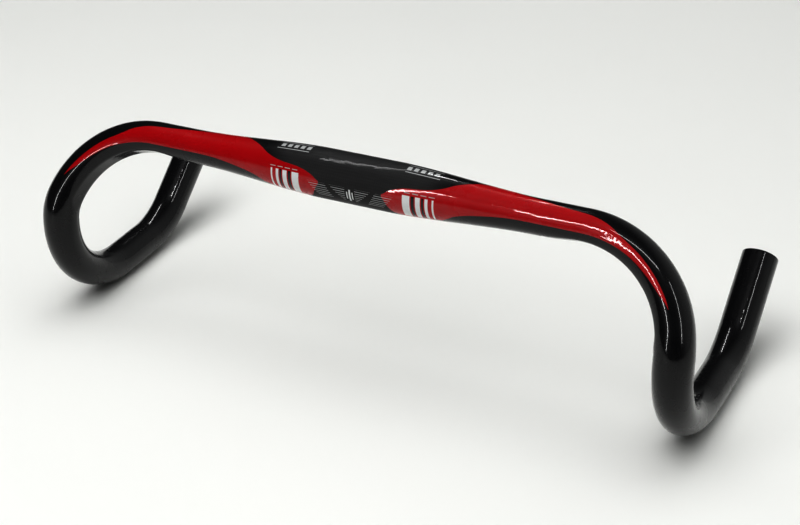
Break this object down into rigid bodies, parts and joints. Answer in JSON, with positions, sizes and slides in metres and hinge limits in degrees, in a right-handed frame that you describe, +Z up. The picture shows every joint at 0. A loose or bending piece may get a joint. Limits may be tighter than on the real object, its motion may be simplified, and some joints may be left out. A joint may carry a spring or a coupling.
{
  "type": "drop handlebar",
  "caption": "Carbon drop handlebar for a road bicycle with a round clamp zone, slim tops, deep anatomic drops and open bar ends.",
  "frame": {"origin": "middle of the stem clamp zone, on its axis", "axes": "+X along the clamp axis to the rider's left, +Y to the rear, +Z up with the bar standing on the flats of its hooks; the riding direction is -Y"},
  "size_m": [0.4624, 0.189, 0.1479],
  "materials": {
    "clear_coated_carbon": "black carbon laminate under a high-gloss clear coat, with red bands painted under it",
    "printed_film": "thin transfer film with plain silver marks, under the clear coat",
    "bonded_liner": "raw moulded carbon, matt"
  },
  "bodies": {
    "root": {"centre_section": "clear_coated_carbon", "clamp_liner": "bonded_liner", "left_drop": "clear_coated_carbon", "left_front_film": "printed_film", "left_joint_sleeve": "bonded_liner", "left_top_film": "printed_film", "right_drop": "clear_coated_carbon", "right_front_film": "printed_film", "right_joint_sleeve": "bonded_liner", "right_top_film": "printed_film"}
  },
  "joints": []
}
